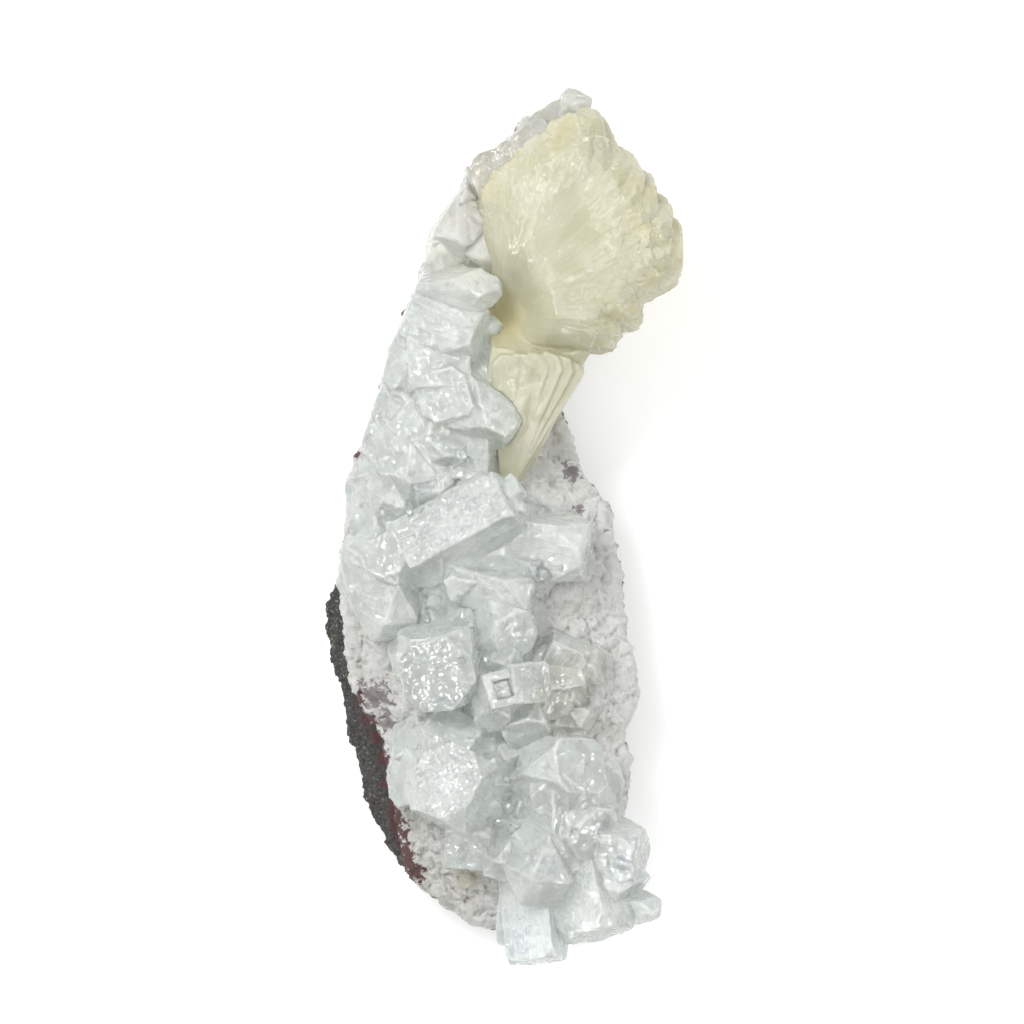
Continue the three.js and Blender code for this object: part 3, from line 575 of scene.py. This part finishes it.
def crust_finish():
    f = Finish("crust_white")
    hollow = f.attribute("hollow")
    felt = f.noise(0.35, 4, 0.65, stretch=((0, 0, 0.5), (1, 2.2, 1.4)), warp=0.8)
    lumps = f.noise(1.6, 4, 0.6)
    blots = f.noise(1.1, 4, 0.65)
    low = f.near(-8, -54, 6, 17)
    stains = f.ramp(f.noise(7, 3, 0.6) + 0.12 * low, 0.5, 0.72)
    specks = f.ramp(f.noise(0.8, 3, 0.7), 0.7, 0.8)
    colour = f.blend(f.ramp(felt, 0.28, 0.45), (0.82, 0.81, 0.71), (1, 1, 0.975))
    colour = f.blend(stains * f.ramp(lumps, 0.35, 0.7) * 0.6, colour, (0.64, 0.61, 0.49))
    # Painted shade: darker beige in the hollows.
    colour = f.blend(hollow * 0.5, colour, (0.5, 0.48, 0.38))
    # Painted shade in the creases: the low parts of the bump's lumps turn dark grey-brown around (-8, -54).
    colour = f.blend(low * f.ramp(lumps, 0.5, 0.38) * 0.55, colour, (0.36, 0.35, 0.31))
    colour = f.blend(specks * 0.25, colour, (0.35, 0.32, 0.31))
    colour = f.blend(f.spots(PURPLE_SPOTS, blots) * 0.75, colour, (0.2, 0.15, 0.16))
    colour = f.blend(f.near(-5.2, -56, 1, 2.6) * 0.7, colour, (0.74, 0.7, 0.55))
    rim = 1 - f.ramp(f.height() + 1.8 * lumps, 9.7, 10.5)
    colour = f.blend(rim * 0.8, colour, (0.17, 0.075, 0.06))
    colour = f.blend(f.spots(RED_SPOTS, blots) * 0.95, colour, (0.12, 0.035, 0.03))
    return f.surface({
        "Base Color": colour,
        "Roughness": 0.75,
        "Specular IOR Level": 0.4,
        "Normal": f.bump(1.2 * lumps + 0.5 * felt),
    })


def basalt_finish():
    f = Finish("basalt_dark")
    grains = f.noise(0.4, 4, 0.7)
    lumps = f.noise(2.2, 4, 0.6)
    specks = f.ramp(f.noise(0.55, 4, 0.75), 0.56, 0.66)
    moss = f.near(-26, -10, 4, 20)
    colour = f.blend(f.ramp(grains, 0.3, 0.7), (0.014, 0.014, 0.013), (0.085, 0.08, 0.072))
    colour = f.blend(specks * (0.45 + 0.5 * moss), colour, (0.5, 0.49, 0.37))
    red = f.ramp(f.height() + 2.2 * lumps, 8.3, 9.2)
    red = red * f.ramp(lumps, 0.35, 0.5)
    colour = f.blend(red * 0.85, colour, (0.16, 0.035, 0.028))
    seam = f.spots(RED_SPOTS, f.noise(1.1, 4, 0.65)) * f.ramp(f.height() + lumps, 4, 6.5)
    colour = f.blend(seam * 0.95, colour, (0.09, 0.018, 0.016))
    return f.surface({
        "Base Color": colour,
        "Roughness": 0.75 - 0.3 * specks,
        "Specular IOR Level": 0.5,
        "Normal": f.bump(0.9 * lumps + 0.5 * grains + 0.3 * f.facets(0.5)),
    })


def dress(piece, nodes, finish):
    keep_inside_box(piece)
    select_only(piece)
    bpy.ops.object.shade_smooth()
    piece.data.materials.clear()
    piece.data.materials.append(finish)
    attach(piece, "root")
    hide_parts(*nodes)


def map_points(piece, name, places):
    """A UV map that gives each point its own two numbers"""
    layer = piece.data.uv_layers.new(name=name)
    corners = np.empty(len(piece.data.loops), np.int32)
    piece.data.loops.foreach_get("vertex_index", corners)
    layer.data.foreach_set("uv", places[corners].astype(np.float32).ravel())


def basalt_piece():
    piece = copy_of("basalt_matrix", "basalt")
    skin(piece, BASALT_CELL, 1)
    roughen(piece, cloud("basalt_lumps", BASALT_LUMPS[0] * MM, 3), BASALT_LUMPS[1])
    roughen(piece, cloud("basalt_grains", BASALT_GRAINS[0] * MM, 3), BASALT_GRAINS[1])
    points = points_of(piece)
    points[:, 2] = np.where(points[:, 2] < BROKEN_BACK, 0, points[:, 2])
    move_points(piece, points)
    thin_out(piece)
    dress(piece, ["basalt_matrix"], basalt_finish())


def crust_piece():
    piece = copy_of("white_crust", "crust")
    skin(piece, CRUST_CELL, 3)
    grow(piece, 0.3)
    roughen(piece, cloud("crust_lumps", CRUST_LUMPS[0] * MM, 4), CRUST_LUMPS[1])
    roughen(piece, cloud("crust_clumps", CRUST_CLUMPS[0] * MM, 3, kind="HARD_NOISE"), CRUST_CLUMPS[1])
    roughen(piece, cloud("crust_tufts", CRUST_TUFTS[0] * MM, 2), CRUST_TUFTS[1])
    thin_out(piece)
    # hollow marks the crust's hollows, where its finish paints shade.
    store(piece, "hollow", smoothstep(-relief(piece, 12), 0.03, 0.35))
    dress(piece, ["white_crust"], crust_finish())


def fill_crevices(piece, node):
    """Joins to a piece the same solid with its narrow gaps closed and its faces just under the piece's"""
    filling = copy_of(node, "filling")
    skin(filling, CREVICE_CELL)
    grow(filling, CREVICE_REACH)
    skin(filling, CREVICE_CELL, 2)
    grow(filling, -CREVICE_REACH - CREVICE_DEPTH)
    apply(filling, "DECIMATE", ratio=CREVICE_SHARE)
    apply(piece, "BOOLEAN", operation="UNION", solver="EXACT", object=filling)
    bpy.data.objects.remove(filling)


def lie_of_growth(piece):
    """Each point's place across and along the crystal that it lies on, and whether it is on a prism face"""
    points, normals = points_of(piece), normals_of(piece)
    nearest = np.full(len(points), np.inf)
    places = np.zeros((len(points), 2))
    prism = np.zeros(len(points))
    for i, (x, y, z, azimuth, elevation, width, length, spin) in enumerate(CRYSTALS):
        angle = math.radians(spin)
        turn = Matrix.Rotation(math.radians(azimuth), 3, "Z")
        turn = turn @ Matrix.Rotation(math.radians(90 - elevation), 3, "Y")
        axes = np.array(turn @ Matrix.Rotation(angle, 3, "Z"))
        half = width / 2 / (math.cos(angle) + math.sin(angle))
        own = (points - [x + LAID_OUT_ABOUT[0], y + LAID_OUT_ABOUT[1], z]) @ axes
        past = [np.abs(own[:, 0]) - half, np.abs(own[:, 1]) - half, own[:, 2], -length - own[:, 2]]
        away = np.abs(np.max(np.stack(past), axis=0))
        closer = away < nearest
        nearest = np.where(closer, away, nearest)
        facing = normals @ axes
        sideways = np.where(np.abs(facing[:, 0]) > np.abs(facing[:, 1]), own[:, 1], own[:, 0])
        end = np.abs(facing[:, 2]) > 0.75
        across = np.where(end, own[:, 0], sideways) + PATTERN_SHIFT * i
        along = np.where(end, RIDGE_SPACING[1] / RIDGE_SPACING[0] * own[:, 1], own[:, 2])
        places = np.where(closer[:, None], np.stack([across, along], 1), places)
        prism = np.where(closer, smoothstep(-np.abs(facing[:, 2]), -0.75, -0.45), prism)
    return places, prism


def crystal_group(node, name, finish, fineness):
    """Sharp-edged crystals with growth steps, and ledges along their prism faces"""
    piece = copy_of(node, name)
    fill_crevices(piece, node)
    apply(
        piece, "REMESH", mode="SHARP", octree_depth=fineness, scale=0.98, sharpness=1,
        use_remove_disconnected=True)
    grow(piece, CLOSING)
    places, _ = lie_of_growth(piece)
    map_points(piece, "ridges", places / RIDGE_SPACING)
    roughen(piece, cloud(name + "_ledges", 1, 1, basis="CELL_NOISE"), LEDGE_DEPTH, coords="UV")
    roughen(piece, cloud(name + "_steps", CRYSTAL_STEPS[0] * MM, 2, 7), CRYSTAL_STEPS[1])
    roughen(piece, cloud(name + "_hillocks", CRYSTAL_HILLOCKS[0] * MM, 2), CRYSTAL_HILLOCKS[1])
    thin_out(piece)
    places, prism = lie_of_growth(piece)
    map_points(piece, "growth", places)
    store(piece, "prismatic", prism)
    # pearl marks pearly facets, which get grains in the bump and painted glints in the colour.
    store(piece, "pearl", facet_mask(piece, node, PEARLY_FACETS))
    # edge marks convex edges, where the finish paints a highlight.
    store(piece, "edge", smoothstep(relief(piece, 3), 0.02, 0.12))
    # hollow marks the hollows between crystals, where the finish paints a warm glow of light.
    store(piece, "hollow", smoothstep(-relief(piece, 40), 0.1, 1.1))
    dress(piece, [node], finish)


def stilbite_fan(piece):
    """Each point's angle in degrees and reach in mm from the root of its sheaf, and 1 on the stalk"""
    points = points_of(piece)
    stalk = smoothstep(-points[:, 1], -STALK_TOP - 0.3, -STALK_TOP + 0.3)
    roots = np.array(HEAD_ROOT) + stalk[:, None] * (np.array(STALK_ROOT) - np.array(HEAD_ROOT))
    ray = points[:, :2] - roots
    reach = np.linalg.norm(ray, axis=1)
    angle = np.degrees(np.arctan2(ray[:, 1], ray[:, 0]))
    return np.where(angle < HEAD_SEAM, angle + 360, angle), reach, stalk


def scattered(cell):
    """Two numbers from 0 to 1 for each pair of whole numbers, the same on every run"""
    return np.modf(np.abs(np.sin(cell @ np.array([[12.99, 39.35], [78.23, 11.14]])) * 43758.55))[0]


def shingles(across, along, width, length):
    """Heights from 0 to 1 of overlapping ends, each rising outwards and dropping at its far edge"""
    places = np.stack([across / width, along / length], 1)
    nearest = np.full(len(places), np.inf)
    height = np.zeros(len(places))
    for step_x in (-1, 0, 1):
        for step_y in (-1, 0, 1):
            cell = np.floor(places) + [step_x, step_y]
            spot = scattered(cell)
            away = places - cell - spot
            distance = (away ** 2).sum(1)
            closer = distance < nearest
            nearest = np.where(closer, distance, nearest)
            rise = 0.5 + 0.7 * away[:, 1] + 0.5 * (spot[:, 0] - 0.5) * away[:, 0]
            height = np.where(closer, np.clip(rise, 0, 1), height)
    return height


def from_head_centre(piece):
    """Each point's distance from the middle of the stilbite's head, about 1 at its rim"""
    return np.linalg.norm((points_of(piece)[:, :2] - HEAD_CENTRE) / HEAD_REACH, axis=1)


def head_margin(piece, stalk, inner, outer):
    """1 along the head's free rim, which runs round its right side from top to bottom, and 0 inside it"""
    reach = np.linalg.norm(points_of(piece)[:, :2] - HEAD_ROOT, axis=1)
    return smoothstep(from_head_centre(piece), inner, outer) * smoothstep(reach, 12, 18) * (1 - stalk)


def stilbite_piece():
    piece = copy_of("stilbite_sheaves", "stilbite")
    skin(piece, STILBITE_CELL, 4)
    angle, reach, stalk = stilbite_fan(piece)
    weigh(piece, "middle", (1 - smoothstep(from_head_centre(piece), 0.35, 1.1)) * (1 - stalk))
    apply(piece, "SMOOTH", factor=0.5, iterations=HEAD_SMOOTHING, vertex_group="middle")
    rim = head_margin(piece, stalk, 0.5, 0.95)
    across = np.radians(angle) * RIM_ARC
    ends = 0.9 * shingles(across, reach, *RIM_ENDS) + 0.4 * shingles(across, reach, *SMALL_RIM_ENDS)
    weigh(piece, "rim", rim * ends / 1.3)
    apply(piece, "DISPLACE", strength=RIM_END_HEIGHT * MM, mid_level=0.35, vertex_group="rim")
    away = smoothstep(reach, 7, 14) * (1 - stalk) + 0.5 * smoothstep(reach, 3, 9) * stalk
    weigh(piece, "face", (1 - stalk) * away * shingles(across, reach, *FACE_ENDS))
    apply(piece, "DISPLACE", strength=FACE_END_HEIGHT * MM, mid_level=0.5, vertex_group="face")
    map_points(piece, "ribs", np.stack([across / RIB_WIDTH, reach / RIB_LENGTH], 1))
    weigh(piece, "away", away)
    roughen(piece, cloud("stilbite_ribs", 1, 2), RIB_DEPTH, "away", "UV")
    roughen(piece, cloud("stilbite_waves", STILBITE_WAVES[0] * MM, 2), STILBITE_WAVES[1])
    grow(piece, CLOSING)
    thin_out(piece)
    angle, reach, stalk = stilbite_fan(piece)
    arc = np.where(stalk > 0.5, STALK_ARC, FAN_ARC)
    map_points(piece, "fan", np.stack([np.radians(angle) * arc, reach + points_of(piece)[:, 2]], 1))
    store(piece, "margin", head_margin(piece, stalk, 0.45, 0.85))
    # edge marks convex edges, where the finish paints a highlight.
    store(piece, "edge", smoothstep(relief(piece, 3), 0.02, 0.1))
    # hollow marks the hollows, where the finish paints shade.
    store(piece, "hollow", smoothstep(-relief(piece, 60), 0.3, 1.6))
    dress(piece, ["stilbite_sheaves"], stilbite_finish())


def small_crystal():
    """A block with cut upper corners and slightly blunt edges, 1 m wide"""
    bpy.ops.object.select_all(action="DESELECT")
    bpy.ops.mesh.primitive_cube_add(size=1)
    model = bpy.context.object
    bpy.ops.object.mode_set(mode="EDIT")
    bpy.ops.mesh.select_all(action="SELECT")
    bpy.ops.transform.resize(value=(1, 1, 1.3))
    bpy.ops.mesh.select_all(action="DESELECT")
    bpy.ops.object.mode_set(mode="OBJECT")
    for vertex in model.data.vertices:
        vertex.select = vertex.co.z > 0
    bpy.ops.object.mode_set(mode="EDIT")
    bpy.ops.mesh.select_mode(type="VERT")
    bpy.ops.mesh.bevel(offset=0.42, offset_type="OFFSET", affect="VERTICES")
    bpy.ops.mesh.select_all(action="SELECT")
    bpy.ops.mesh.bevel(offset=0.03, segments=1, affect="EDGES")
    bpy.ops.mesh.normals_make_consistent(inside=False)
    bpy.ops.object.mode_set(mode="OBJECT")
    return model


def small_crystals(finish):
    """Copies of the small crystal, each sunk a little into a larger one and leaning its own way"""
    model = small_crystal()
    copies = []
    for i, (x, y, size) in enumerate(SMALL_CRYSTALS):
        hit, place, normal = seen_from_above("apophyllite_crystals", x, y)
        if not hit:
            continue
        crystal = bpy.data.objects.new("crystal", model.data.copy())
        bpy.context.scene.collection.objects.link(crystal)
        lean = (normal + Vector((0.5 * math.sin(5 * i), 0.5 * math.cos(7 * i), 0.8))).normalized()
        turn = lean.to_track_quat("Z", "Y").to_matrix().to_4x4() @ Matrix.Rotation(1.1 * i, 4, "Z")
        middle = Matrix.Translation(place + 0.3 * size * MM * lean)
        crystal.data.transform(middle @ turn @ Matrix.Scale(size * MM, 4))
        copies.append(crystal)
    bpy.data.objects.remove(model)
    select_only(copies[0])
    for crystal in copies:
        crystal.select_set(True)
    bpy.ops.object.join()
    piece = bpy.context.object
    piece.name = "small_crystals"
    keep_inside_box(piece)
    piece.data.materials.append(finish)
    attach(piece, "root")


def area_light(name, place, size, power):
    bpy.ops.object.light_add(type="AREA", location=mm(*place))
    light = bpy.context.object
    light.name = name
    light.data.size = size * MM
    light.data.energy = power
    light.rotation_euler = (-light.location).to_track_quat("-Z", "Y").to_euler()
    return light


def floor():
    bpy.ops.object.select_all(action="DESELECT")
    bpy.ops.mesh.primitive_plane_add(size=FLOOR_SIDE, location=(0, 0, 0))
    piece = bpy.context.object
    piece.name = "floor"
    f = Finish("floor_white")
    piece.data.materials.append(f.surface({
        "Base Color": (0.9, 0.9, 0.9, 1), "Roughness": 1.0,
        "Emission Color": (1, 1, 1, 1), "Emission Strength": FLOOR_GLOW}))


def room():
    world = bpy.data.worlds.new("room")
    bpy.context.scene.world = world
    world.use_nodes = True
    nodes, links = world.node_tree.nodes, world.node_tree.links
    place = nodes.new("ShaderNodeTexCoord")
    axes = nodes.new("ShaderNodeSeparateXYZ")
    ramp = nodes.new("ShaderNodeValToRGB")
    ramp.color_ramp.interpolation = "EASE"
    low, high = ramp.color_ramp.elements
    low.position, low.color = ROOM_ABOVE_FROM, (*ROOM_LIGHT, 1)
    high.position, high.color = ROOM_ABOVE_FULL, (*ROOM_ABOVE, 1)
    links.new(place.outputs["Generated"], axes.inputs[0])
    links.new(axes.outputs["Z"], ramp.inputs["Fac"])
    links.new(ramp.outputs["Color"], nodes["Background"].inputs["Color"])


def lights():
    for name, place, size, power in LIGHTS:
        area_light(name, place, size, power).visible_glossy = False
    top, bottom = (math.cos(math.radians(angle)) for angle in (GLINT_STEEPEST, GLINT_LOWEST))
    golden_angle = math.pi * (3 - math.sqrt(5))
    for i in range(GLINTS):
        height = top + (bottom - top) * (i + 0.5) / GLINTS
        turn = i * golden_angle
        reach = math.sqrt(1 - height * height)
        place = GLINT_DISTANCE * Vector((reach * math.cos(turn), reach * math.sin(turn), height))
        area_light(f"glint_{i}", place, GLINT_SIDE, GLINT_POWER).visible_diffuse = False


def camera():
    bpy.ops.object.camera_add(location=mm(*CAMERA_PLACE), rotation=(0, 0, 0))
    view = bpy.context.object
    view.name = "camera"
    view.data.lens_unit = "FOV"
    view.data.angle = math.radians(CAMERA_FIELD)
    view.data.clip_start = 0.01
    bpy.context.scene.camera = view


def main():
    basalt_piece()
    crust_piece()
    apophyllite = apophyllite_finish()
    small_crystals(apophyllite)
    crystal_group("apophyllite_crystals", "druse", apophyllite, DRUSE_FINENESS)
    crystal_group("apophyllite_crown", "crown", apophyllite, CROWN_FINENESS)
    stilbite_piece()
    floor()
    room()
    lights()
    camera()
    bpy.context.scene.view_settings.view_transform = "Standard"


main()
